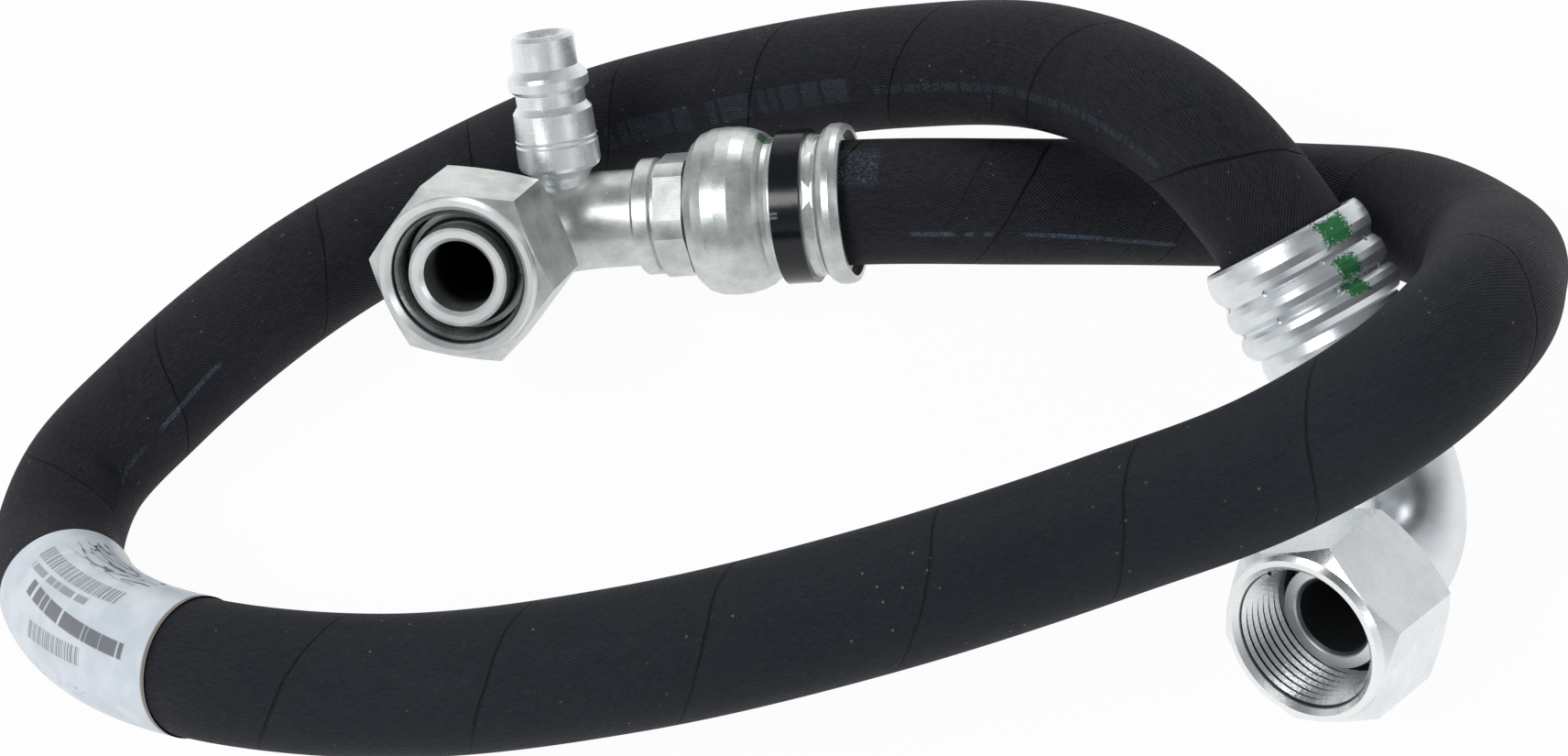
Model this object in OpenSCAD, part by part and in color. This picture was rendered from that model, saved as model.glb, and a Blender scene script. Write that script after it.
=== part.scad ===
// Refrigerant hose assembly, lying in its loose coil on the floor (z = 0).
// A black cloth-finished rubber hose of one and a quarter turns with a crimped
// 90 degree swivel-nut fitting at each end; end A also carries a charging port.
// Millimetres, +Z up, x along the coil's long side, y away from the viewer.

/* [Hose] */
// Outer diameter of the rubber cover
hose_od = 25.4; // [24:0.1:27]
// Bore of the inner tube
hose_bore = 13; // [12:0.1:14]
// Outer diameter of the inner tube
inner_tube_od = 18.4; // [17:0.1:19]
// Outer diameter of the textile braid
braid_od = 20.6; // [20:0.1:22]
// Clearance between one layer and the next
layer_gap = 0.1; // [0.05:0.05:0.3]

/* [Bent tube] */
// Outer diameter of the bent steel tube
tube_od = 20; // [19:0.1:21]
// Bore of the bent steel tube
tube_bore = 14.4; // [13:0.1:15.5]
// Centreline radius of the 90 degree bend
bend_r = 20; // [18:0.5:24]
// Elbow corner to the tube's open nose
nose_reach = 39.5; // [38:0.5:44]
// Elbow corner to the brazed insert
leg_reach = 31; // [28:0.5:34]
// Diameter of the shoulder that holds the nut
shoulder_od = 24.2; // [23:0.1:24.6]

/* [Swivel nut] */
// Width across the six flats
nut_af = 33; // [32:0.5:36]
// Length of the nut
nut_length = 23; // [20:0.5:26]
// Thread root diameter of the female thread
nut_thread_d = 27; // [26.5:0.1:28]
// Elbow corner to nut face at end A (nut drawn back)
nut_a_face = 40.5; // [40:0.5:42]
// Elbow corner to nut face at end B (nut run forward)
nut_b_face = 50; // [48:0.5:52]

/* [Crimped ferrule] */
// Wall of the crimped shell
shell_wall = 1.3; // [1:0.1:1.6]
// Radius of the round bulb next to the collar
bulb_r = 17.2; // [16:0.1:18]
// Radius of the flared lip
lip_r = 16.4; // [15.5:0.1:17]
// Elbow corner to the lip at end A
lip_a = 72; // [71.8:0.1:73]
// Elbow corner to the lip at end B
lip_b = 64; // [63.8:0.1:65]

/* [Charging port] */
// Distance of the port's axis from the elbow corner
port_at = 12; // [11:0.5:13]
// Height of the port's top above the tube's axis
port_top = 40; // [38:0.5:42]
// Diameter of the coupling spigot
port_od = 13; // [12.8:0.1:13.2]
// Bore that takes the valve core
port_bore = 8.4; // [8:0.1:9]

/* [Label] */
// Thickness of the wrapped label
label_thick = 0.3; // [0.2:0.05:0.5]

/* [Hidden] */
$fn = 64;
sides = 12;
zinc = [0.74, 0.76, 0.73];
zinc_b = [0.78, 0.80, 0.82];
black = [0.07, 0.07, 0.08];

// where each end fitting stands: elbow corner and turn about x, y, z
// moves the whole assembly so that the origin is at the middle of its footprint
home = [-0.94, -6.26, 0];
end_a_pos = home + [-38, 63.3, 20];
end_a_rot = [51, -5, -16];
end_b_pos = home + [124, -49.8, 4.7];
end_b_rot = [-59, -32, 108];

// direction of the hose leg of a fitting, from its turn about y and z
function leg_dir(r) = [cos(r[2]) * cos(r[1]), sin(r[2]) * cos(r[1]), -sin(r[1])];
dir_a = leg_dir(end_a_rot);
dir_b = leg_dir(end_b_rot);

// the hose's own points, set down by hand along the coil in the picture
route_mid = [
    [63, 35, 25], [92, 32, 17], [118, 24, 16], [136, 9, 25], [142, -12, 39],
    [135, -33, 60], [125, -48, 72], [111, -57, 73], [88, -60, 63], [58, -61, 57],
    [15, -64, 56], [-29, -62, 53], [-72, -53, 48], [-105, -39, 45], [-125, -21, 35],
    [-136, -2, 24], [-140, 15, 16], [-135, 31, 13.5], [-117, 44, 17], [-86, 60, 22],
    [-51, 79, 16], [-19, 90, 12.7], [15, 87, 17], [48, 73, 29], [77, 51.5, 42.3], [96, 23, 49.5]
];
route = concat(
    [end_a_pos + dir_a * 43, end_a_pos + dir_a * 74],
    [for (p = route_mid) home + p],
    [end_b_pos + dir_b * 66, end_b_pos + dir_b * 41]
);
last = len(route) - 1;

function unit(v) = v / norm(v);
// direction of travel at one point, weighted so short spans count more
function along(i) =
    i == 0 ? unit(route[1] - route[0]) :
    i == last ? unit(route[last] - route[last - 1]) :
    unit(unit(route[i] - route[i - 1]) + unit(route[i + 1] - route[i]));
// one ring of points round the route at point i
function ring(i, r) =
    let(t = along(i), s = unit(cross([0, 0, 1], t)), u = cross(t, s),
        c = i == 0 || i == last ? 1 :
            1 / max(0.8, along(i) * unit(route[i + 1] - route[i])))
    [for (k = [0 : sides - 1])
        let(a = 360 * k / sides) route[i] + (s * cos(a) * c + u * sin(a)) * r];
// a ring part of the way along the span that follows point i
function ring_at(i, f, r) =
    let(a = ring(i, r), b = ring(i + 1, r))
    [for (k = [0 : sides - 1]) a[k] * (1 - f) + b[k] * f];

// hollow skin through a list of outer rings and a list of inner rings
module skin(outer, inner) {
    n = len(outer);
    m = n * sides;
    pts = concat([for (r = outer) each r], [for (r = inner) each r]);
    // two triangles to every patch, so that no patch is left warped
    faces = concat(
        [for (i = [0 : n - 2]) for (k = [0 : sides - 1])
            let(j = (k + 1) % sides, p = i * sides, q = p + sides)
            each [[p + k, q + k, q + j], [p + k, q + j, p + j]]],
        [for (i = [0 : n - 2]) for (k = [0 : sides - 1])
            let(j = (k + 1) % sides, p = m + i * sides, q = p + sides)
            each [[q + j, q + k, p + k], [p + j, q + j, p + k]]],
        [for (k = [0 : sides - 1]) let(j = (k + 1) % sides)
            each [[k, j, m + j], [k, m + j, m + k]]],
        [for (k = [0 : sides - 1]) let(j = (k + 1) % sides, e = (n - 1) * sides)
            each [[e + j, e + k, m + e + k], [e + j, m + e + k, m + e + j]]]
    );
    polyhedron(points = pts, faces = faces, convexity = 6);
}

module hose_layer(r_in, r_out) {
    skin([for (i = [0 : last]) ring(i, r_out)], [for (i = [0 : last]) ring(i, r_in)]);
}

// ---- hose: inner tube, textile braid, cloth-finished rubber cover ----
module hose_inner_tube() color([0.16, 0.16, 0.17])
    hose_layer(hose_bore / 2 / cos(180 / sides), inner_tube_od / 2);

module hose_braid() color([0.72, 0.70, 0.62])
    hose_layer(inner_tube_od / 2 + layer_gap, braid_od / 2);

module hose_cover() color(black)
    hose_layer(braid_od / 2 + layer_gap, hose_od / 2);

// label wrapped once round the cover at the coil's left end
module label() color([0.93, 0.93, 0.92]) {
    r0 = hose_od / 2 + 0.06;
    r1 = r0 + label_thick;
    skin(
        [ring_at(15, 0.15, r1), ring(16, r1), ring(17, r1), ring_at(17, 0.55, r1)],
        [ring_at(15, 0.15, r0), ring(16, r0), ring(17, r0), ring_at(17, 0.55, r0)]
    );
}

module at_a() translate(end_a_pos) rotate(end_a_rot) children();
module at_b() translate(end_b_pos) rotate(end_b_rot) children();
// turn something drawn up the z axis so that it runs along the hose leg
module on_leg() rotate([0, 90, 0]) children();
// something drawn up the z axis becomes the port
module on_port() translate([port_at, 0, 1.5]) rotate([-90, 0, 0]) children();

// ---- bent tube: hose leg, 90 degree bend, nose with its nut shoulder ----
module bend(outer, inner) translate([bend_r, 0, bend_r]) rotate([90, 0, 0]) rotate([0, 0, 180])
    rotate_extrude(angle = 90) translate([bend_r, 0]) difference() {
        circle(d = outer);
        if (inner > 0) circle(d = inner);
    }
module bent_tube() {
    ro = tube_od / 2;
    ri = tube_bore / 2;
    n = nose_reach;
    translate([bend_r, 0, 0]) on_leg() difference() {
        cylinder(h = leg_reach - bend_r, d = tube_od);
        translate([0, 0, -1]) cylinder(h = leg_reach, d = tube_bore);
    }
    bend(tube_od, tube_bore);
    // nose: nut shoulder, O-ring groove, broken inner edge
    rotate_extrude() polygon([
        [ri, bend_r], [ro, bend_r], [ro, n - 10], [shoulder_od / 2 - 0.5, n - 10],
        [shoulder_od / 2, n - 9.5], [shoulder_od / 2, n - 6.5], [ro, n - 6.5],
        [ro, n - 6], [ro - 1.2, n - 6], [ro - 1.2, n - 3.6], [ro, n - 3.6],
        [ro, n], [ri + 0.8, n], [ri, n - 0.8]
    ]);
}

module tube_a() color(zinc) difference() {
    at_a() bent_tube();
    // hole under the charging port
    at_a() on_port() cylinder(h = 20, d = 4);
}
module tube_b() color(zinc_b) at_b() bent_tube();

// ---- insert: flatted collar brazed on the tube, barbed tail in the hose ----
module barbed_insert(length, flats) {
    difference() {
        union() {
            rotate_extrude() polygon([
                [0, leg_reach - 3], [tube_od / 2 + 1.5, leg_reach - 3],
                [tube_od / 2 + 2, leg_reach - 2.4], [tube_od / 2 + 2, leg_reach + 0.6],
                [tube_od / 2 + 1.4, leg_reach + 1.2], [tube_od / 2 + 1.4, leg_reach + 3],
                [0, leg_reach + 3]
            ]);
            intersection() {
                translate([0, 0, leg_reach + 2]) cylinder(h = flats, d = 27.6, $fn = 6);
                translate([0, 0, leg_reach + 2]) cylinder(h = flats, d = 25.6);
            }
            translate([0, 0, leg_reach + 2 + flats]) cylinder(h = 4, d = 20.4);
            rotate_extrude() barb_outline(leg_reach + 6 + flats, length);
        }
        translate([0, 0, leg_reach - 4]) cylinder(h = 4.2, d = tube_od + 0.1);
        translate([0, 0, leg_reach - 1]) cylinder(h = length + 40, d = 10);
    }
}
// saw-tooth barbs along the tail that grips the inner tube
function barbs(z, n, p) = [for (i = [0 : n - 1])
    each [[hose_bore / 2 - 0.7, z + i * p], [hose_bore / 2 - 0.12, z + i * p + 0.3],
          [hose_bore / 2 - 0.12, z + i * p + 0.9], [hose_bore / 2 - 0.7, z + i * p + 2.6]]];
module barb_outline(z, length) polygon(concat(
    [[0, z - 1], [hose_bore / 2 - 0.7, z - 1]],
    barbs(z + 2, 7, 3.4),
    [[hose_bore / 2 - 0.7, z + length - 1], [hose_bore / 2 - 1.2, z + length], [0, z + length]]
));

module insert_a() color(zinc) at_a() on_leg() barbed_insert(28, 6);
module insert_b() color(zinc_b) at_b() on_leg() barbed_insert(26, 4);

// ---- ferrule A: round bulb, band seat, crimp valley, flared open lip ----
// outer outline from the collar to the lip, then the same shell inside
ferrule_a_out = [
    [10.35, 39.4], [12.6, 39.4], [14.6, 40.2], [16.2, 41.9], [bulb_r - 0.2, 44.2], [bulb_r, 46.8],
    [bulb_r - 0.1, 49.6], [16.5, 52.3], [15.6, 54.4], [14.5, 55.6], [14.3, 56.6], [14.6, 57.4],
    [14.6, 64.4], [14.4, 65.2], [14.3, 66.0], [14.6, 66.8], [15.6, 67.6],
    [lip_r - 0.1, 68.8], [lip_r, 70.2], [lip_r - 0.2, 71.4], [lip_r - 0.5, lip_a]
];
ferrule_a_in = [
    [lip_r - 0.3 - shell_wall, lip_a], [lip_r - 0.1 - shell_wall, 70.8],
    [lip_r - 0.2 - shell_wall, 69.6], [14.0, 68.6], [13.1, 67.8], [12.8, 66.8],
    [12.8, 65.0], [13.2, 64.2], [13.2, 57.8], [12.9, 57.0], [12.9, 55.6], [13.4, 54.8],
    [14.4, 53.6], [15.2, 51.8], [bulb_r - 0.2 - shell_wall, 49.6],
    [bulb_r - 0.1 - shell_wall, 46.8], [bulb_r - 0.3 - shell_wall, 44.6],
    [14.9, 42.9], [13.6, 41.6], [12.0, 40.9], [10.35, 40.9]
];
module ferrule_a() color(zinc) at_a() on_leg() difference() {
    rotate_extrude() polygon(concat(ferrule_a_out, ferrule_a_in));
    // eight jaw flats pressed into the crimp section beside the band
    for (k = [0 : 7]) rotate([0, 0, 22.5 + 45 * k])
        translate([14.25, -3.4, 64.5]) cube([3, 6.8, 2.1]);
}

// ---- ferrule B: three pressed ridges, groove, domed end on the collar ----
ferrule_b_out = [
    [10.35, 37.2], [11.6, 37.2], [13.2, 38.0], [14.4, 39.4], [15.0, 41.2], [15.0, 43.0],
    [14.6, 44.4], [14.4, 45.0], [15.4, 45.7], [16.3, 47.0], [16.5, 48.4], [16.1, 49.7],
    [15.3, 50.6], [15.3, 51.1], [16.2, 52.0], [16.5, 53.4], [16.4, 54.8], [15.8, 56.0],
    [15.4, 56.6], [15.6, 57.4], [lip_r, 58.6], [lip_r + 0.3, 60.2],
    [lip_r + 0.1, 62.0], [lip_r - 0.3, 63.4], [lip_r - 0.7, lip_b]
];
ferrule_b_in = [
    [lip_r - 0.5 - shell_wall, lip_b], [lip_r - 0.4 - shell_wall, 62.8], [14.3, 61.2], [13.2, 59.8], [12.8, 58.8], [12.8, 56.4],
    [13.4, 55.2], [13.4, 52.6], [12.8, 51.4], [12.8, 50.0], [13.4, 48.8], [13.4, 47.4],
    [12.8, 46.2], [12.8, 44.6], [13.3, 43.0], [13.3, 41.4], [12.8, 40.2],
    [11.8, 39.0], [10.35, 38.7]
];
module ferrule_b() color(zinc_b) at_b() on_leg() difference() {
    rotate_extrude() polygon(concat(ferrule_b_out, ferrule_b_in));
    // small jaw marks in the two valleys
    for (z = [50.85, 56.6]) for (k = [0 : 7]) rotate([0, 0, 10 + 45 * k])
        translate([15.0, 0, z]) rotate([0, 90, 0]) cylinder(h = 3, d = 1.2, $fn = 16);
}

// ---- plastic band that sits in the ferrule's seat ----
module crimp_band_a() color([0.05, 0.05, 0.06]) at_a() on_leg() difference() {
    translate([0, 0, 58]) cylinder(h = 6, r = 15.7);
    translate([0, 0, 57]) cylinder(h = 8, r = 14.63);
    // the split where the band's two ends meet
    translate([13, -0.3, 57]) cube([4, 0.6, 8]);
}

// ---- swivel nut: hexagon with turned ends, thread bore, retaining lip ----
module swivel_nut(face) translate([0, 0, face - nut_length]) difference() {
    intersection() {
        cylinder(h = nut_length, d = nut_af / cos(30), $fn = 6);
        rotate_extrude() polygon([
            [0, 0], [nut_af / 2 - 0.9, 0], [nut_af / 2 + 3, 2.6],
            [nut_af / 2 + 3, nut_length - 3.6],
            [nut_af / 2 - 0.3, nut_length - 1.5], [nut_af / 2 - 0.8, nut_length], [0, nut_length]
        ]);
    }
    translate([0, 0, -1]) cylinder(h = 4, d = tube_od + 1.0);
    translate([0, 0, 2.2]) cylinder(h = 4, d = shoulder_od + 0.16);
    translate([0, 0, 6.1]) cylinder(h = nut_length, d = nut_thread_d);
    translate([0, 0, nut_length - 1.2]) cylinder(h = 1.3, d1 = nut_thread_d, d2 = nut_thread_d + 2.4);
}
module nut_a() color(zinc) at_a() rotate([0, 0, -13]) swivel_nut(nut_a_face);
module nut_b() color(zinc_b) at_b() rotate([0, 0, 14]) swivel_nut(nut_b_face);

// ---- O-ring in the groove of each nose ----
module o_ring() translate([0, 0, nose_reach - 4.8]) rotate_extrude()
    translate([tube_od / 2 - 0.12, 0]) circle(d = 2.1, $fn = 24);
module o_ring_a() color([0.04, 0.04, 0.04]) at_a() o_ring();
module o_ring_b() color([0.04, 0.04, 0.04]) at_b() o_ring();

// ---- charging port: turned body brazed on the tube, quick-coupler grooves ----
module port_body() color([0.80, 0.82, 0.80]) at_a() difference() {
    on_port() difference() {
        rotate_extrude() polygon([
            [0, 6], [5.6, 6], [5.6, 9.6], [6.0, 10.6], [6.4, 11.2], [8.1, 12.4], [8.5, 13.2],
            [8.5, 17.4], [8.2, 17.8], [8.2, 18.2], [8.5, 18.6], [8.3, 18.9],
            [8.15, 24.2], [7.1, 25.6], [7.1, 28.2], [7.6, 28.6], [8.25, 29.2],
            [8.25, 31.0], [7.9, 31.8], [port_od / 2, 33.3],
            [port_od / 2, port_top - 0.8], [5.7, port_top], [0, port_top]
        ]);
        // valve chamber, seat and gas way
        translate([0, 0, 20]) cylinder(h = 21, d = port_bore);
        translate([0, 0, 5]) cylinder(h = 16, d = 4);
        translate([0, 0, port_top - 1]) cylinder(h = 1.1, d1 = port_bore, d2 = port_bore + 1.8);
    }
    // saddle cut so that the foot sits on the outside of the bend
    bend(tube_od + 0.04, 0);
}

// ---- valve core: screwed barrel, gasket, sprung pin with its seal ----
valve_z = 25;
module valve_barrel() color([0.80, 0.66, 0.36]) at_a() on_port() difference() {
    rotate_extrude() polygon([
        [0, valve_z], [3.2, valve_z], [3.2, valve_z + 5], [4.1, valve_z + 5.6],
        [4.1, valve_z + 11], [3.6, valve_z + 11.5], [0, valve_z + 11.5]
    ]);
    translate([0, 0, valve_z - 1]) cylinder(h = 6.2, d = 4.6);
    translate([0, 0, valve_z - 1]) cylinder(h = 14, d = 1.76);
    translate([0, 0, valve_z + 6.6]) cylinder(h = 6, d = 4.6);
}
module valve_gasket() color([0.90, 0.90, 0.86]) at_a() on_port()
    translate([0, 0, valve_z + 1.6]) difference() {
        cylinder(h = 2, r = 4.1);
        translate([0, 0, -1]) cylinder(h = 4, r = 3.25);
    }
module valve_pin() color([0.82, 0.70, 0.42]) at_a() on_port() {
    translate([0, 0, valve_z - 2.2]) cylinder(h = 14, d = 1.6);
    translate([0, 0, valve_z + 10.9]) cylinder(h = 0.9, d = 3.8);
    translate([0, 0, valve_z - 2.2]) cylinder(h = 0.7, d = 4.4);
}
module valve_seal() color([0.10, 0.10, 0.10]) at_a() on_port()
    translate([0, 0, valve_z - 1.5]) difference() {
        cylinder(h = 1.4, d = 5.2);
        translate([0, 0, -1]) cylinder(h = 4, d = 1.66);
    }
// spring that lifts the pin shut; drawn pressed up under the pin's head
module valve_spring() color([0.60, 0.62, 0.64]) at_a() on_port()
    translate([0, 0, valve_z + 8.4]) difference() {
        cylinder(h = 2.4, d = 4.2);
        translate([0, 0, -1]) cylinder(h = 7, d = 2.9);
    }

/* [View] */
// Which sub-part to draw

hose_inner_tube();
hose_braid();
hose_cover();
label();
tube_a();
insert_a();
ferrule_a();
crimp_band_a();
nut_a();
o_ring_a();
port_body();
valve_barrel();
valve_gasket();
valve_pin();
valve_seal();
valve_spring();
tube_b();
insert_b();
ferrule_b();
nut_b();
o_ring_b();
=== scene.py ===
"""Looks of a coiled rubber hose with a crimped right-angle swivel-nut fitting on each end.

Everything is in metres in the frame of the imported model. Pieces that the CAD
gets right keep their solids and only get materials here; the hose and its label
are drawn again as smooth tubes on the same route, and the threads are added.
"""

import math
import bpy
from mathutils import Matrix, Vector


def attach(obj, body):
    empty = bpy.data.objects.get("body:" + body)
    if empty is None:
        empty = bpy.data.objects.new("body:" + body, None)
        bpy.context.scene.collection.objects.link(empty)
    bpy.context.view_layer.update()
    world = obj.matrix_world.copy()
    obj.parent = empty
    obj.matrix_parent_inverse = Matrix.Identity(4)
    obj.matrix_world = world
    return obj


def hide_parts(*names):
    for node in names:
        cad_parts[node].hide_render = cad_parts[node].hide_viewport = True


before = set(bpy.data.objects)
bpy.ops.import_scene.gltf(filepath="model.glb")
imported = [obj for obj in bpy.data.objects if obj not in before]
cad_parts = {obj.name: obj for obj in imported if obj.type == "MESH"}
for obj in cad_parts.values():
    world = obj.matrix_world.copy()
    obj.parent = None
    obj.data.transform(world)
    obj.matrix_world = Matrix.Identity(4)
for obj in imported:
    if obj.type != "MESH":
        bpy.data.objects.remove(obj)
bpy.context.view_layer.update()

scene = bpy.context.scene
scene.view_settings.view_transform = "Standard"

# ---------------------------------------------------------------- camera ----
# The camera stands above the front of the coil, looks down 56 degrees and is
# rolled 13.6 degrees, with the field of view of the reference picture.
camera = bpy.data.objects.new("camera", bpy.data.cameras.new("camera"))
scene.collection.objects.link(camera)
camera.data.sensor_width = 36
camera.data.lens = 63.08
camera.matrix_world = (
    Matrix.Translation((0.007985, -0.302173, 0.470107))
    @ Matrix.Rotation(math.radians(34.2), 4, "X")
    @ Matrix.Rotation(math.radians(-13.6), 4, "Z")
)
scene.camera = camera


class Value:
    """A socket of a shader tree; arithmetic on it adds Math nodes to the tree."""

    def __init__(self, tree, socket):
        self.tree, self.socket = tree, socket

    def node(self, kind, *values, out=0, named=None, **settings):
        """Adds a node, sets its settings, fills its inputs in order or by name."""
        made = self.tree.nodes.new(kind)
        for name, value in settings.items():
            setattr(made, name, value)
        pairs = list(zip(made.inputs, values)) + [(made.inputs[k], v) for k, v in (named or {}).items()]
        for socket, value in pairs:
            if isinstance(value, Value):
                self.tree.links.new(value.socket, socket)
            elif value is not None:
                socket.default_value = value
        return Value(self.tree, made.outputs[out])

    def math(self, operation, *values, clamp=False):
        return self.node("ShaderNodeMath", *values, operation=operation, use_clamp=clamp)

    def __add__(self, other):
        return self.math("ADD", self, other)

    def __sub__(self, other):
        return self.math("SUBTRACT", self, other)

    def __rsub__(self, other):
        return self.math("SUBTRACT", other, self)

    def __mul__(self, other):
        return self.math("MULTIPLY", self, other)

    def __truediv__(self, other):
        return self.math("DIVIDE", self, other)

    __radd__, __rmul__ = __add__, __mul__

    def fract(self):
        return self.math("FRACT", self)

    def abs(self):
        return self.math("ABSOLUTE", self)

    def sin(self):
        return self.math("SINE", self)

    def ramp(self, low, high):
        """0 below low, 1 above high, smooth between them (high may be the lower one)."""
        return self.node("ShaderNodeMapRange", self, low, high, 0.0, 1.0, interpolation_type="SMOOTHSTEP")

    def between(self, low, high, soft):
        """1 from low to high, fading over the width soft on each side."""
        return self.ramp(low - soft, low + soft) * self.ramp(high + soft, high - soft)

    def mix(self, a, b):
        """Colour a where this is 0 and b where it is 1."""
        made = self.tree.nodes.new("ShaderNodeMix")
        made.data_type = "RGBA"
        made.clamp_factor = True
        self.tree.links.new(self.socket, made.inputs[0])
        for socket, value in ((made.inputs[6], a), (made.inputs[7], b)):
            if isinstance(value, Value):
                self.tree.links.new(value.socket, socket)
            else:
                socket.default_value = (*value, 1)
        return Value(self.tree, made.outputs[2])

    def noise(self, scale, detail=2.0, roughness=0.5):
        """Noise at this vector; scale is in repeats a metre."""
        return self.node(
            "ShaderNodeTexNoise",
            named={"Vector": self, "Scale": scale, "Detail": detail, "Roughness": roughness},
        )

    def dot(self, axis):
        return self.node("ShaderNodeVectorMath", self, tuple(axis), operation="DOT_PRODUCT", out=1)

    def cells(self, scale, out=0, spread=1.0):
        """Voronoi cells at this vector: distance to the nearest point (out 0) or cell colour (out 1)."""
        given = {"Vector": self, "Scale": scale, "Randomness": spread}
        return self.node("ShaderNodeTexVoronoi", named=given, feature="F1", out=out)

    def vector(self, x, y, z):
        return self.node("ShaderNodeCombineXYZ", x, y, z)


def new_material(name, **constants):
    """A material with one Principled shader; gives it, its shader and a first Value."""
    material = bpy.data.materials.new(name)
    material.use_nodes = True
    tree = material.node_tree
    shader = tree.nodes["Principled BSDF"]
    for key, value in constants.items():
        socket = shader.inputs[key.replace("_", " ").title()]
        socket.default_value = (*value, 1) if isinstance(value, tuple) else value
    coordinates = tree.nodes.new("ShaderNodeTexCoord")
    return material, shader, Value(tree, coordinates.outputs["Object"])


def feed(shader, **values):
    """Links varying values to the shader's sockets."""
    for key, value in values.items():
        value.tree.links.new(value.socket, shader.inputs[key.replace("_", " ").title()])


def bump(height, strength, distance):
    """A normal from a height in metres times distance."""
    given = {"Height": height, "Strength": strength, "Distance": distance}
    return height.node("ShaderNodeBump", named=given)


# --------------------------------------------------------- floor and light ----
# A plain white studio sweep under soft light from above and from the left.
floor_mesh = bpy.data.meshes.new("floor")
floor_mesh.from_pydata([(-3, -3, 0), (3, -3, 0), (3, 3, 0), (-3, 3, 0)], [], [(0, 1, 2, 3)])
floor = bpy.data.objects.new("floor", floor_mesh)
scene.collection.objects.link(floor)
floor_material, floor_shader, floor_at = new_material("floor", base_color=(0.8, 0.8, 0.8), roughness=0.9)
tree = floor_material.node_tree
path = tree.nodes.new("ShaderNodeLightPath")
seen = Value(tree, path.outputs["Is Camera Ray"]) + Value(tree, path.outputs["Is Glossy Ray"])
white = floor_at.node("ShaderNodeEmission", named={"Color": (1, 1, 1, 1), "Strength": 1.0})
mixed = floor_at.node("ShaderNodeMixShader", seen.math("MINIMUM", seen, 1.0) * 0.96,
                      Value(tree, floor_shader.outputs[0]), white)
tree.links.new(mixed.socket, tree.nodes["Material Output"].inputs["Surface"])
floor_mesh.materials.append(floor_material)

world = bpy.data.worlds.new("studio")
scene.world = world
world.use_nodes = True
tree = world.node_tree
background = tree.nodes["Background"]
sky = tree.nodes.new("ShaderNodeTexCoord")
upward = Value(tree, sky.outputs["Generated"]).dot((0, 0, 1))
path = tree.nodes.new("ShaderNodeLightPath")
plain = Value(tree, path.outputs["Is Camera Ray"])
tone = upward.ramp(0.05, 0.75).mix((0.80, 0.81, 0.83), (0.20, 0.21, 0.22))
tree.links.new(plain.mix(tone, (1.0, 1.0, 1.0)).socket, background.inputs["Color"])
background.inputs["Strength"].default_value = 1.0


def soft_box(name, at, aim, size, watts):
    """A square area lamp at a point, facing another point."""
    lamp = bpy.data.objects.new(name, bpy.data.lights.new(name, "AREA"))
    scene.collection.objects.link(lamp)
    lamp.data.shape = "SQUARE"
    lamp.data.size = size
    lamp.data.energy = watts
    lamp.location = at
    lamp.rotation_euler = (Vector(aim) - Vector(at)).to_track_quat("-Z", "Y").to_euler()
    return lamp


soft_box("key", (-0.7, -0.3, 1.1), (0, 0, 0), 0.6, 9)
soft_box("fill", (0.9, -0.6, 0.8), (0, 0, 0), 0.5, 2.2)
soft_box("rim", (0.3, 1.1, 0.7), (0, 0, 0), 0.5, 3.2)

# ------------------------------------------------------------------ route ----
# Where the two fittings stand and the hose's own points, as in the solid model.
home = Vector((-0.00094, -0.00626, 0))


def placed(corner, turns):
    """A fitting's frame: x along its hose leg, z along its nut, y along its port."""
    x, y, z = (math.radians(t) for t in turns)
    turn = Matrix.Rotation(z, 4, "Z") @ Matrix.Rotation(y, 4, "Y") @ Matrix.Rotation(x, 4, "X")
    return Matrix.Translation(home + Vector(corner)) @ turn


end_a = placed((-0.038, 0.0633, 0.020), (51, -5, -16))
end_b = placed((0.124, -0.0498, 0.0047), (-59, -32, 108))
route_middle = [
    (63, 35, 25), (92, 32, 17), (118, 24, 16), (136, 9, 25), (142, -12, 39),
    (135, -33, 60), (125, -48, 72), (111, -57, 73), (88, -60, 63), (58, -61, 57),
    (15, -64, 56), (-29, -62, 53), (-72, -53, 48), (-105, -39, 45), (-125, -21, 35),
    (-136, -2, 24), (-140, 15, 16), (-135, 31, 13.5), (-117, 44, 17), (-86, 60, 22),
    (-51, 79, 16), (-19, 90, 12.7), (15, 87, 17), (48, 73, 29), (77, 51.5, 42.3), (96, 23, 49.5),
]
route = (
    [end_a @ Vector((0.043, 0, 0)), end_a @ Vector((0.074, 0, 0))]
    + [home + Vector(p) / 1000 for p in route_middle]
    + [end_b @ Vector((0.066, 0, 0)), end_b @ Vector((0.041, 0, 0))]
)

# ------------------------------------------------------------------- hose ----
# Black synthetic rubber extruded over a textile braid and cured inside a wrapped
# cloth strip, which leaves its fine weave and a spiral of seam lines in the skin.


def smooth_line(points, step):
    """Points a step apart along a smooth curve through the given points."""
    spans = [(b - a).length for a, b in zip(points, points[1:])]
    slopes = []
    for i in range(len(points)):
        if i == 0:
            slopes.append((points[1] - points[0]) / spans[0])
        elif i == len(points) - 1:
            slopes.append((points[i] - points[i - 1]) / spans[-1])
        else:
            before, after = spans[i - 1], spans[i]
            slopes.append(((points[i] - points[i - 1]) / before * after
                           + (points[i + 1] - points[i]) / after * before) / (before + after))
    line = []
    for a, b, s, e, h in zip(points, points[1:], slopes, slopes[1:], spans):
        n = max(2, round(h / step))
        for k in range(n):
            u = k / n
            line.append(a * (2 * u**3 - 3 * u * u + 1) + s * (h * (u**3 - 2 * u * u + u))
                        + b * (3 * u * u - 2 * u**3) + e * (h * (u**3 - u * u)))
    return line + [points[-1]]


def line_object(name, points):
    """A mesh of one open line through the points."""
    mesh = bpy.data.meshes.new(name)
    mesh.from_pydata(points, [(i, i + 1) for i in range(len(points) - 1)], [])
    made = bpy.data.objects.new(name, mesh)
    scene.collection.objects.link(made)
    return made


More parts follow.
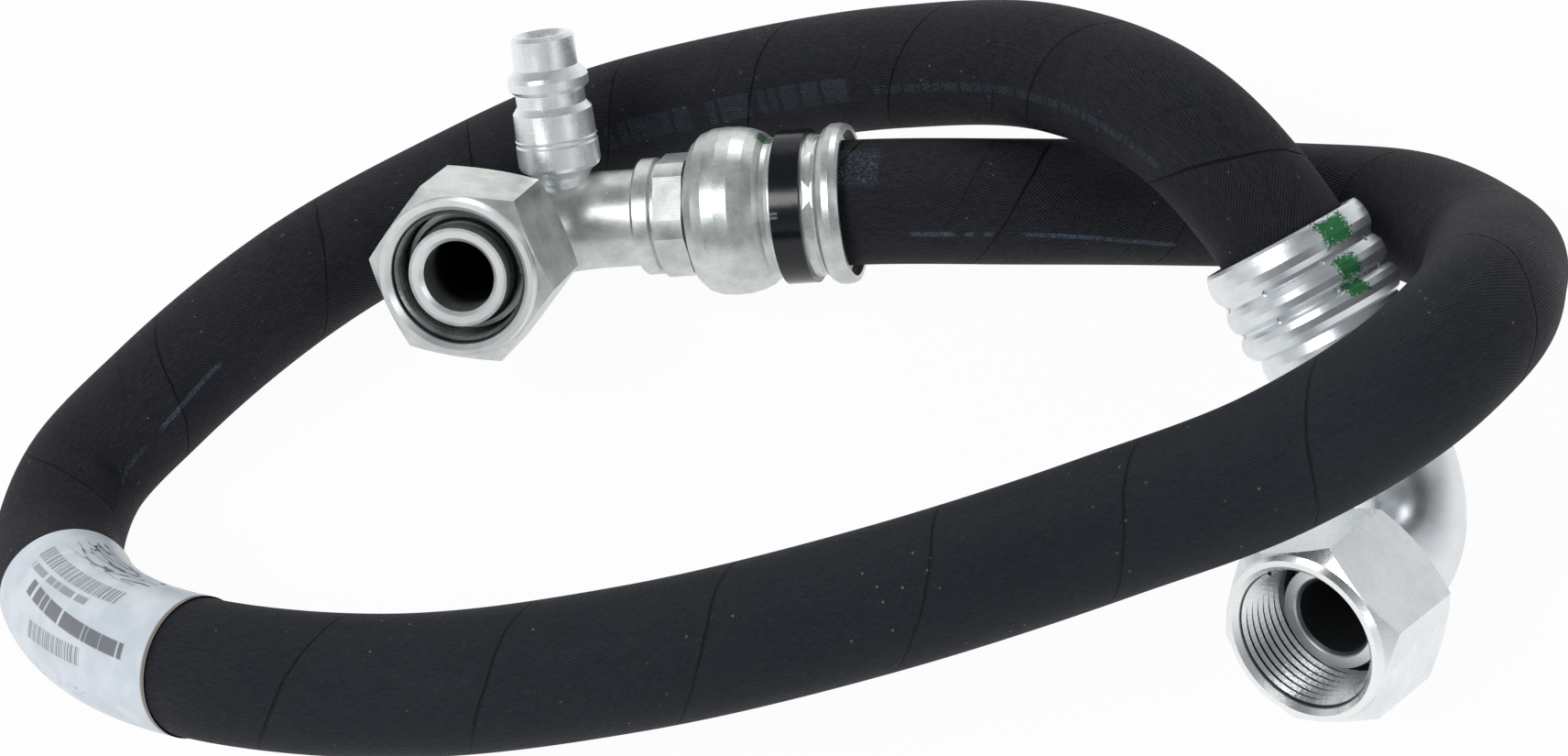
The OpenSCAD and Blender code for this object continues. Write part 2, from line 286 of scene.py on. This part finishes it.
def tube_tree():
    """Nodes that sweep a ring along a line and store the distance along and round it."""
    tree = bpy.data.node_groups.new("tube on a line", "GeometryNodeTree")
    tree.interface.new_socket("Geometry", in_out="INPUT", socket_type="NodeSocketGeometry")
    for name, kind in (
        ("Radius", "NodeSocketFloat"), ("From", "NodeSocketFloat"), ("To", "NodeSocketFloat"),
        ("Step", "NodeSocketFloat"), ("Sides", "NodeSocketInt"), ("Material", "NodeSocketMaterial"),
    ):
        tree.interface.new_socket(name, in_out="INPUT", socket_type=kind)
    tree.interface.new_socket("Geometry", in_out="OUTPUT", socket_type="NodeSocketGeometry")
    new, link = tree.nodes.new, tree.links.new
    given, out = new("NodeGroupInput"), new("NodeGroupOutput")
    to_curve = new("GeometryNodeMeshToCurve")
    link(given.outputs["Geometry"], to_curve.inputs["Mesh"])
    trim = new("GeometryNodeTrimCurve")
    trim.mode = "LENGTH"
    link(to_curve.outputs["Curve"], trim.inputs["Curve"])
    link(given.outputs["From"], trim.inputs[4])
    link(given.outputs["To"], trim.inputs[5])
    even = new("GeometryNodeResampleCurve")
    even.mode = "LENGTH"
    link(trim.outputs["Curve"], even.inputs["Curve"])
    link(given.outputs["Step"], even.inputs["Length"])
    along = new("GeometryNodeStoreNamedAttribute")
    along.data_type, along.domain = "FLOAT", "POINT"
    along.inputs["Name"].default_value = "along"
    spline = new("GeometryNodeSplineParameter")
    total = new("ShaderNodeMath")
    link(spline.outputs["Length"], total.inputs[0])
    link(given.outputs["From"], total.inputs[1])
    link(even.outputs["Curve"], along.inputs["Geometry"])
    link(total.outputs[0], along.inputs["Value"])
    ring = new("GeometryNodeCurvePrimitiveCircle")
    link(given.outputs["Sides"], ring.inputs["Resolution"])
    link(given.outputs["Radius"], ring.inputs["Radius"])
    around = new("GeometryNodeStoreNamedAttribute")
    around.data_type, around.domain = "FLOAT_VECTOR", "POINT"
    around.inputs["Name"].default_value = "around"
    place = new("GeometryNodeInputPosition")
    unit = new("ShaderNodeVectorMath")
    unit.operation = "NORMALIZE"
    link(place.outputs[0], unit.inputs[0])
    link(ring.outputs["Curve"], around.inputs["Geometry"])
    link(unit.outputs[0], around.inputs["Value"])
    sweep = new("GeometryNodeCurveToMesh")
    link(along.outputs["Geometry"], sweep.inputs["Curve"])
    link(around.outputs["Geometry"], sweep.inputs["Profile Curve"])
    real = new("GeometryNodeRealizeInstances")
    paint = new("GeometryNodeSetMaterial")
    link(sweep.outputs["Mesh"], real.inputs["Geometry"])
    link(real.outputs["Geometry"], paint.inputs["Geometry"])
    link(given.outputs["Material"], paint.inputs["Material"])
    link(paint.outputs["Geometry"], out.inputs["Geometry"])
    return tree


def from_tree(made, tree, **inputs):
    """Runs a geometry tree on an object, keeps the resulting mesh and drops the modifier."""
    modifier = made.modifiers.new("form", "NODES")
    modifier.node_group = tree
    for socket in tree.interface.items_tree:
        if socket.in_out == "INPUT" and socket.name in inputs:
            modifier[socket.identifier] = inputs[socket.name]
    bpy.context.view_layer.update()
    shaped = bpy.data.meshes.new_from_object(made.evaluated_get(bpy.context.evaluated_depsgraph_get()))
    made.modifiers.clear()
    made.data = shaped
    for face in shaped.polygons:
        face.use_smooth = True
    return made


rubber, shader, at = new_material("hose rubber", roughness=0.7)
shader.inputs["Specular IOR Level"].default_value = 0.22
along = at.node("ShaderNodeAttribute", attribute_name="along", out=2)
around = at.node("ShaderNodeAttribute", attribute_name="around", out=1)
side, up = around.dot((1, 0, 0)), around.dot((0, 1, 0))
angle = at.math("ARCTAN2", up, side) / (2 * math.pi)
slow = at.noise(45, 3)
broad = at.noise(18, 2)
# the wrapped strip's place: 0 at one seam and 1 at the next, 37 mm on
SEAM_PITCH = 0.037
turn = (along / SEAM_PITCH + angle + (slow - 0.5) * 0.10).fract()
across = (turn + 0.5).fract()
# the front stretch is handled most and rubbed nearly smooth
worn = along.between(0.225, 0.462, 0.030)
# weave: ribs of the cloth about 0.6 mm apart, steep beside a seam and nearly along the
# hose at the next; the cloth lay more or less firmly, so the ribs come and go
sway = (slow - 0.5) * 2.0
rib = ((angle * 150 - across * (56.0 - across * 23.3) + sway) * (2 * math.pi)).sin() * 0.5 + 0.5
cross = ((along * 1250 - angle * 30 + sway) * (2 * math.pi)).sin() * 0.5 + 0.5
thread = at.vector(along * 620, side * 30, up * 30).noise(1.0, 2, 0.7)
knot = at.noise(1900, 2, 0.7)
firm = at.vector(along * 60, side * 1.6, up * 1.6).noise(1.0, 3, 0.6).ramp(0.36, 0.60)
weave = (rib * 0.85 + cross * 0.15) * (firm * 0.75 + 0.25) * (1.0 - worn * 0.6)
# seams: the edge of the wrapped strip, once in each turn of the spiral, and a faint
# second line where the strip's selvage lay under the next turn
seam = turn.between(0.495, 0.505, 0.005) * (1.0 - worn * 0.45)
selvage = turn.between(0.22, 0.235, 0.006) * firm * (1.0 - worn)
strip = turn.ramp(0.5, 1.0)
# dust: sparse light specks and a few short hairs
dot = at.cells(330)
dust = dot.ramp(0.11, 0.05) * at.noise(60, 2).ramp(0.50, 0.58)
hair = at.vector(along * 90, side * 9, up * 2.2).cells(1.0).ramp(0.045, 0.02) * broad.ramp(0.45, 0.6)
# layline: a printed dashed stripe, left here as plain dashes, rubbed nearly away
first = along.between(0.042, 0.050, 0.0006) + along.between(0.052, 0.0535, 0.0004)
first = first + along.between(0.0555, 0.057, 0.0004) + along.between(0.0625, 0.094, 0.001)
first = first * (angle + 0.062 - along.ramp(0.060, 0.100) * 0.030).abs().ramp(0.008, 0.005)
second = along.between(0.574, 0.592, 0.001) + along.between(0.553, 0.569, 0.001) * 0.45
second = second * (angle + 0.157 + (along - 0.582) * 1.2).abs().ramp(0.008, 0.005)
# the printed words beyond it, left as plain faint blocks
large = at.vector(along * 330, 0.0, 0.0).noise(1.0, 1, 0.5).ramp(0.43, 0.47)
large = large * (angle + 0.163).abs().ramp(0.035, 0.031)
large = large * (along.between(0.690, 0.712, 0.0004) + along.between(0.7165, 0.7535, 0.0004))
small = at.vector(along * 800, 0.0, 0.0).noise(1.0, 1, 0.5).ramp(0.43, 0.48)
small = small * (angle + 0.156).abs().ramp(0.013, 0.010)
small = small * along.between(0.760, 0.836, 0.0006)
layline = (first + second + large * 0.32 + small * 0.36) * knot.ramp(0.30, 0.60)
# blue-grey assembly paint smeared at the mouth of ferrule A
smear = along.ramp(0.0365, 0.0345) * (angle + 0.245).abs().ramp(0.065, 0.045)
smear = smear * (slow * 0.5 + knot * 0.5).ramp(0.36, 0.50)
tint = broad.ramp(0.35, 0.65).mix((0.0034, 0.0038, 0.0062), (0.0054, 0.0058, 0.0092))
tint = (thread.ramp(0.35, 0.7) * 0.35 + weave * 0.65).mix(tint, (0.0330, 0.0350, 0.0460))
tint = (worn * 0.55).mix(tint, (0.0100, 0.0150, 0.0215))
tint = (knot.ramp(0.60, 0.74) * 0.5).mix(tint, (0.045, 0.046, 0.050))
tint = (selvage * 0.3 + seam * 0.8).mix(tint, (0.003, 0.003, 0.004))
tint = (layline * 0.85).mix(tint, (0.075, 0.105, 0.145))
tint = (smear * 0.8).mix(tint, (0.090, 0.120, 0.165))
tint = (dust * 0.5 + hair * 0.25).mix(tint, (0.22, 0.21, 0.18))
height = weave * 0.95 + thread * 0.4 + knot * 0.35 - seam * 2.2 - selvage * 0.6 + strip * 0.5
feed(shader, base_color=tint, roughness=0.76 - thread * 0.16, normal=bump(height, 1.0, 0.00035))

smooth_route = smooth_line(route, 0.002)
hose = line_object("hose", smooth_route)
hose_length = sum((b - a).length for a, b in zip(smooth_route, smooth_route[1:]))
tubes = tube_tree()
HOSE_RADIUS = 0.0127
from_tree(hose, tubes, Radius=HOSE_RADIUS, From=0.0, To=hose_length, Step=0.002, Sides=72, Material=rubber)
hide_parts("hose_cover")
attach(hose, "hose_assembly")

# ------------------------------------------------------------------ label ----
# A strip of white satin film wrapped once round the hose and stuck to itself; its
# print is drawn as plain bars, its cut edge is grey-brown and it has a pen mark.
LABEL_FROM, LABEL_TO = 0.467, 0.519
LABEL_MIDDLE = -0.298  # turn round the hose at the middle of the print
film, shader, at = new_material("label film")
along = at.node("ShaderNodeAttribute", attribute_name="along", out=2)
around = at.node("ShaderNodeAttribute", attribute_name="around", out=1)
side, up = around.dot((1, 0, 0)), around.dot((0, 1, 0))
angle = ((at.math("ARCTAN2", up, side) / (2 * math.pi)) - LABEL_MIDDLE + 0.5).fract() - 0.5
stripes = at.vector(along * 2600, 0.0, 0.0).noise(1.0, 1, 0.5).ramp(0.47, 0.53)
blocks = at.vector(along * 520, 0.0, 0.0).noise(1.0, 1, 0.5).ramp(0.40, 0.44)
slanted = angle + (0.49 - along) * 1.2
# each row of print: where round the hose, its pattern, from and to along the hose, how dark
ink = 0.0
for row, low, high, pattern, start, end, dark in (
    (angle, 0.078, 0.118, stripes, 0.480, 0.5125, 0.85),
    (angle, 0.049, 0.067, blocks, 0.487, 0.511, 0.55),
    (slanted, -0.018, 0.018, blocks, 0.4725, 0.506, 0.8),
    (angle, -0.084, -0.042, stripes, 0.483, 0.501, 0.75),
):
    ink = row.between(low, high, 0.002) * pattern * along.between(start, end, 0.0003) * dark + ink
crease = at.noise(160, 3)
fold = at.vector(along * 75, angle * 42, 0.0).noise(1.0, 2, 0.5)
torn = (fold - 0.5).abs().ramp(0.045, 0.012) * angle.between(0.150, 0.245, 0.010)
torn = torn * along.between(0.479, 0.512, 0.0003)
scribble = ((at.noise(300, 1) * 5).fract() - 0.5).abs().ramp(0.05, 0.01)
scribble = scribble * angle.between(-0.185, -0.140, 0.01)
tint = crease.ramp(0.3, 0.7).mix((0.60, 0.66, 0.72), (0.72, 0.77, 0.82))
tint = ink.math("MINIMUM", ink + torn * 0.85, 1.0).mix(tint, (0.060, 0.064, 0.072))
tint = (scribble * 0.9 * along.between(0.482, 0.494, 0.002)).mix(tint, (0.20, 0.24, 0.62))
tint = along.ramp(LABEL_FROM + 0.0006, LABEL_FROM + 0.0012).mix((0.20, 0.18, 0.16), tint)
feed(shader, base_color=tint, roughness=0.30 + crease * 0.12,
     normal=bump(crease + torn * 0.6, 0.35, 0.0004))
label = line_object("label", smooth_route)
from_tree(label, tubes, Radius=0.01304, From=LABEL_FROM, To=LABEL_TO, Step=0.001, Sides=96, Material=film)
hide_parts("label")
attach(label, "hose_assembly")

# ------------------------------------------------------------- zinc plate ----
# Steel fittings, machined or bent and then zinc plated: a dull, cloudy satin at
# end A and a brighter, bluish plate at end B; each has knocks, and paint marks.


def local(at, frame_of):
    """Position of a shading point in a fitting's own frame, in millimetres."""
    rows = frame_of.inverted()
    return [(at.dot(tuple(rows[i][:3])) + rows[i][3]) * 1000 for i in range(3)]


def blob(x, angle, x0, angle0, half_x, half_angle, ragged):
    """A patch with torn edges round one place on a turned piece."""
    a, b = (x - x0) / half_x, (angle - angle0) / half_angle
    return (x.math("MAXIMUM", a.abs(), b.abs()) + ragged).ramp(1.06, 0.94)


def zinc(name, low, high, rough, grain, metal=0.85, cloud_scale=160, pits=0.6, marks=None):
    """Zinc plate: cloudy tone, fine crystals, pits and small bright knocks."""
    material, shader, at = new_material(name)
    cloud = at.noise(cloud_scale, 5, 0.62)
    crystal = at.noise(2100, 3, 0.7)
    knocks = at.cells(620).ramp(0.12, 0.05) * at.noise(130, 2).ramp(0.54, 0.62)
    specks = at.cells(900).ramp(0.10, 0.05) * at.noise(210, 2).ramp(0.55, 0.62)
    tone = cloud.ramp(0.33, 0.67).mix(low, high)
    tone = (crystal.ramp(0.55, 0.75) * 0.25).mix(tone, tuple(min(1.0, c * 1.25) for c in high))
    tone = (knocks * 0.7).mix(tone, (0.95, 0.96, 0.95))
    tone = (specks * pits).mix(tone, (0.12, 0.12, 0.11))
    roughness = (crystal - 0.5) * grain + (cloud - 0.5) * 0.25 + rough
    height = crystal * 0.6 + cloud * 2.0 + knocks * 1.5 - specks * 1.5
    if marks:
        tone, roughness, height = marks(at, tone, roughness, height, cloud, crystal)
    feed(shader, base_color=tone, roughness=roughness, normal=bump(height, 0.30, 0.00009))
    shader.inputs["Metallic"].default_value = metal
    return material


def leg_marks_a(at, tone, roughness, height, cloud, crystal):
    """Tone of tube and ferrule A along the hose leg, its scratches and green paint."""
    x, y, z = local(at, end_a)
    angle = at.math("ARCTAN2", y, z) / (2 * math.pi)
    streak = at.vector(x * 0.5, y * 2.0, z * 2.0).noise(1.0, 3, 0.7)
    tone = (streak.ramp(0.45, 0.75) * 0.35).mix(tone, (0.42, 0.44, 0.42))
    scratch = at.vector(x * 0.9, angle * 60, 0.0).cells(1.0).ramp(0.05, 0.02) * x.ramp(60, 62)
    tone = (scratch * 0.8).mix(tone, (0.95, 0.96, 0.95))
    green = blob(x, angle, 55.6, 0.240, 1.6, 0.022, (crystal - 0.5) * 1.2)
    tone = (green * 0.85).mix(tone, (0.012, 0.10, 0.025))
    # painted highlight: a bright ring on the face of the nose; painted shadow: its unplated bore made near
    # black
    radius = at.math("SQRT", x * x + y * y)
    mouth = radius.ramp(9.6, 9.2) * z.ramp(38.6, 39.0)
    tone = (mouth * 0.8).mix(tone, (0.93, 0.95, 0.95))
    # painted shadow deep inside the bore
    painted_bore_shadow = radius.ramp(7.9, 7.6) * z.ramp(36.0, 30.0)
    tone = (painted_bore_shadow * 0.95).mix(tone, (0.006, 0.006, 0.008))
    return tone, roughness + green * 0.2, height + scratch * 1.5


def leg_marks_b(at, tone, roughness, height, cloud, crystal):
    """The torn strip of green inspection paint on ferrule B, and painted shadow in the bore of its nose."""
    x, y, z = local(at, end_b)
    angle = at.math("ARCTAN2", y, z) / (2 * math.pi)
    torn = (crystal - 0.5) * 2.2 + (cloud - 0.5) * 1.2
    flake = at.vector(x * 0.9, angle * 55, 0.0).cells(1.0).ramp(0.10, 0.16)
    green = (blob(x, angle, 60.8, -0.205, 2.6, 0.030, torn) + blob(x, angle, 53.8, -0.195, 2.3, 0.025, torn)
             + blob(x, angle, 49.6, -0.188, 1.5, 0.022, torn))
    green = green.math("MINIMUM", green, 1.0) * flake
    # painted shadow: the bore of the nose darkened deep inside
    painted_bore_shadow = at.math("SQRT", x * x + y * y).ramp(7.9, 7.6) * z.ramp(46.0, 40.0)
    tone = (painted_bore_shadow * 0.85).mix(tone, (0.012, 0.016, 0.020))
    shade = cloud.ramp(0.4, 0.7).mix((0.014, 0.200, 0.050), (0.030, 0.300, 0.090))
    tone = (green * 0.95).mix(tone, shade)
    return tone, roughness + green * 0.25, height + green * 1.5


def turned_rings(at, tone, roughness, height, cloud, crystal):
    """Fine lathe lines and long streaks on the charging port."""
    x, y, z = local(at, end_a)
    lathe = at.vector(y * 5.0, 0.0, 0.0).noise(1.0, 3, 0.7)
    streak = at.vector(x * 1.6, y * 0.10, z * 1.6).noise(1.0, 3, 0.6)
    lower = y.ramp(20.5, 19.5)
    tone = (streak.ramp(0.5, 0.75) * 0.25).mix(tone, (0.50, 0.52, 0.52))
    tone = (lower * cloud.ramp(0.5, 0.6) * 0.6).mix(tone, (0.93, 0.94, 0.93))
    return tone, roughness + (lathe - 0.5) * 0.15, height + lathe * 1.2


def nut_marks_in(stand, face, shade):
    """Chips where a spanner slipped, a painted highlight on the turned rim of the face, and painted shade
    in the nut's bore behind its thread.
    """
    def marks(at, tone, roughness, height, cloud, crystal):
        x, y, z = local(at, stand)
        chips = at.noise(420, 4, 0.75).ramp(0.60, 0.68) * cloud.ramp(0.45, 0.6)
        tone = (chips * 0.18).mix(tone, (0.30, 0.33, 0.31))
        radius = at.math("SQRT", x * x + y * y)
        # painted highlight: a bright ring round the rim of the nut's face
        rim = radius.ramp(16.6, 15.9) * z.ramp(face - 1.4, face - 0.7)
        tone = (rim * 0.75).mix(tone, (0.93, 0.94, 0.94))
        # painted shade: the nut's bore darkened to the given shade colour
        inner = radius.ramp(13.75, 13.55)
        tone = (inner * 0.9).mix(tone, shade)
        return tone, roughness + chips * 0.15, height - chips * 0.8
    return marks


dull = zinc("dull zinc", (0.50, 0.53, 0.52), (0.70, 0.73, 0.71), 0.38, 0.25, marks=leg_marks_a)
# the last colour given to each nut is the painted shade inside its bore
dull_nut = zinc("dull zinc nut", (0.54, 0.57, 0.55), (0.72, 0.75, 0.73), 0.38, 0.25,
                marks=nut_marks_in(end_a, 40.5, (0.07, 0.075, 0.08)))
bright = zinc("bright zinc", (0.70, 0.74, 0.77), (0.84, 0.87, 0.89), 0.34, 0.12,
              metal=0.82, cloud_scale=90, pits=0.2, marks=leg_marks_b)
bright_nut = zinc("bright zinc nut", (0.80, 0.83, 0.85), (0.92, 0.94, 0.95), 0.28, 0.12,
                  metal=0.80, pits=0.1, marks=nut_marks_in(end_b, 50.0, (0.05, 0.055, 0.06)))
ridge_zinc = zinc("bright thread zinc", (0.74, 0.77, 0.79), (0.88, 0.90, 0.91), 0.25, 0.12)
turned = zinc("turned zinc", (0.82, 0.85, 0.86), (0.93, 0.95, 0.96), 0.30, 0.10, metal=0.72, pits=0.3,
              marks=turned_rings)

# the plastic band: glossy black, with a light moulded tick where its ends lock
black_plastic, shader, at = new_material("band plastic", roughness=0.2)
shader.inputs["Specular IOR Level"].default_value = 0.35
x, y, z = local(at, end_a)
angle = at.math("ARCTAN2", y, z) / (2 * math.pi)
tick = (angle.between(0.015, 0.029, 0.0008) * x.between(56.8, 59.6, 0.1)
        * (1.0 - angle.between(0.0205, 0.0235, 0.0006)))
wear = at.noise(900, 3, 0.7)
tint = (tick * 0.7 + wear.ramp(0.62, 0.75) * 0.12).mix((0.006, 0.007, 0.010), (0.20, 0.22, 0.24))
feed(shader, base_color=tint, roughness=wear * 0.14 + 0.10, normal=bump(wear, 0.1, 0.0001))

# moulded seal rubber, with the faint grey bloom of the talc it was packed in
seal, shader, at = new_material("seal rubber", roughness=0.4)
bloom = at.noise(700, 3, 0.6)
feed(shader, base_color=(bloom.ramp(0.5, 0.8) * 0.5).mix((0.006, 0.006, 0.007), (0.030, 0.030, 0.032)),
     roughness=bloom * 0.3 + 0.25, normal=bump(bloom, 0.1, 0.0001))

# brass of the valve core, with turning lines and a little tarnish
brass, shader, at = new_material("valve brass", roughness=0.3, metallic=1.0)
tarnish = at.noise(500, 3, 0.6)
feed(shader, base_color=tarnish.ramp(0.3, 0.7).mix((0.55, 0.38, 0.15), (0.75, 0.58, 0.28)),
     roughness=tarnish * 0.2 + 0.2, normal=bump(at.noise(2500, 2), 0.15, 0.00005))

# the small grey-white gasket and the undyed textile braid under the cover
pale, shader, at = new_material("pale polymer and braid", roughness=0.6)
strands = at.noise(900, 3, 0.6)
feed(shader, base_color=strands.ramp(0.3, 0.7).mix((0.45, 0.43, 0.37), (0.62, 0.60, 0.53)),
     roughness=strands * 0.2 + 0.5, normal=bump(strands, 0.3, 0.0002))

for names, material in (
    (("tube_a", "insert_a", "ferrule_a"), dull),
    (("nut_a",), dull_nut),
    (("tube_b", "insert_b", "ferrule_b"), bright),
    (("nut_b",), bright_nut),
    (("port_body",), turned),
    (("crimp_band_a",), black_plastic),
    (("o_ring_a", "o_ring_b", "valve_seal", "hose_inner_tube"), seal),
    (("valve_barrel", "valve_pin", "valve_spring"), brass),
    (("valve_gasket", "hose_braid"), pale),
):
    for name in names:
        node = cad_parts[name]
        node.data.materials.clear()
        node.data.materials.append(material)

# ---------------------------------------------------------------- threads ----
# The female thread cut inside each nut: one helical ridge of 1.8 mm pitch, here a
# swept diamond whose outer half is sunk in the bore's wall.
helix = bpy.data.node_groups.new("thread ridge", "GeometryNodeTree")
helix.interface.new_socket("Geometry", in_out="INPUT", socket_type="NodeSocketGeometry")
for name, kind in (("Turns", "NodeSocketFloat"), ("Crest", "NodeSocketFloat"), ("Depth", "NodeSocketFloat"),
                   ("Length", "NodeSocketFloat"), ("Material", "NodeSocketMaterial")):
    helix.interface.new_socket(name, in_out="INPUT", socket_type=kind)
helix.interface.new_socket("Geometry", in_out="OUTPUT", socket_type="NodeSocketGeometry")
new, link = helix.nodes.new, helix.links.new
given, out = new("NodeGroupInput"), new("NodeGroupOutput")
middle = new("ShaderNodeMath")
link(given.outputs["Crest"], middle.inputs[0])
link(given.outputs["Depth"], middle.inputs[1])
coil = new("GeometryNodeCurveSpiral")
coil.inputs["Resolution"].default_value = 72
for socket in ("Start Radius", "End Radius"):
    link(middle.outputs[0], coil.inputs[socket])
link(given.outputs["Turns"], coil.inputs["Rotations"])
link(given.outputs["Length"], coil.inputs["Height"])
upright = new("GeometryNodeSetCurveNormal")
upright.mode = "Z_UP"
link(coil.outputs["Curve"], upright.inputs["Curve"])
diamond = new("GeometryNodeCurvePrimitiveCircle")
diamond.inputs["Resolution"].default_value = 4
link(given.outputs["Depth"], diamond.inputs["Radius"])
sweep = new("GeometryNodeCurveToMesh")
link(upright.outputs["Curve"], sweep.inputs["Curve"])
link(diamond.outputs["Curve"], sweep.inputs["Profile Curve"])
real, paint = new("GeometryNodeRealizeInstances"), new("GeometryNodeSetMaterial")
link(sweep.outputs["Mesh"], real.inputs["Geometry"])
link(real.outputs["Geometry"], paint.inputs["Geometry"])
link(given.outputs["Material"], paint.inputs["Material"])
link(paint.outputs["Geometry"], out.inputs["Geometry"])

# painted shade: the thread inside nut A gets a zinc far darker than the nut itself, for the shade inside it
thread_zinc_painted_shade = zinc("thread zinc", (0.20, 0.22, 0.22), (0.36, 0.38, 0.38), 0.30, 0.2)
for name, stand, base, material, rides, slot in (
    ("thread_a", end_a, 0.0245, thread_zinc_painted_shade, "swivel_nut_a", "zinc_dull"),
    ("thread_b", end_b, 0.0340, ridge_zinc, "swivel_nut_b", "zinc_bright"),
):
    ridge = line_object(name, [Vector((0, 0, 0)), Vector((0, 0, 0.001))])
    from_tree(ridge, helix, Turns=8.0, Crest=0.01262, Depth=0.00062, Length=0.0144, Material=material)
    ridge.data.transform(stand @ Matrix.Translation((0, 0, base)))
    for face in ridge.data.polygons:
        face.use_smooth = False
    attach(ridge, rides)
